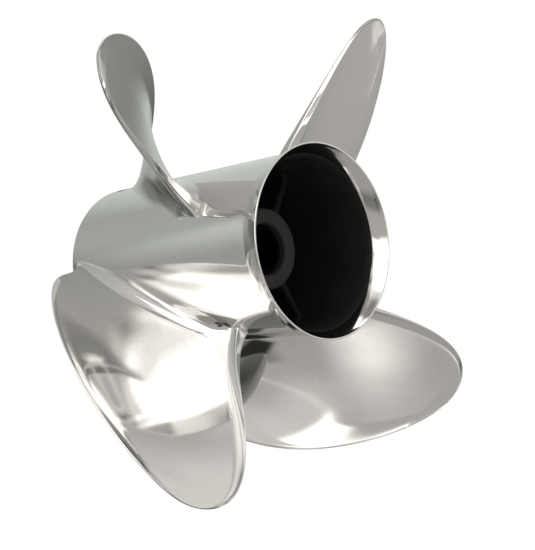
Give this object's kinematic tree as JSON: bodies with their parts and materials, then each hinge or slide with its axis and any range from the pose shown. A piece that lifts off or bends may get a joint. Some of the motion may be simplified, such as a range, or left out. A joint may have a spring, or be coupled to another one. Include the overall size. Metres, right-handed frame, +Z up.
{
  "type": "boat propeller",
  "caption": "Right-hand cupped stainless propeller with swept blades on a hollow exhaust barrel, flared aft ring, ribbed inner hub, rubber bushing and splined drive sleeve.",
  "frame": {"origin": "on the shaft axis, in the forward thrust face of the splined sleeve", "axes": "+Y forward along the shaft towards the boat, +Z up, +X to starboard seen from astern"},
  "size_m": [0.3162, 0.1765, 0.3162],
  "materials": {
    "polished_steel": "mirror-polished stainless steel",
    "blackened_casting": "matt black painted stainless casting",
    "bushing_rubber": "moulded black rubber",
    "sleeve_metal": "machined bronze"
  },
  "bodies": {
    "root": {"barrel": "polished_steel", "diffuser_ring": "polished_steel", "blade_1": "polished_steel", "blade_2": "polished_steel", "blade_3": "polished_steel", "blade_4": "polished_steel", "inner_hub": "blackened_casting", "rib_1": "blackened_casting", "rib_2": "blackened_casting", "rib_3": "blackened_casting", "drive_bushing": "bushing_rubber", "drive_sleeve": "sleeve_metal"}
  },
  "joints": []
}
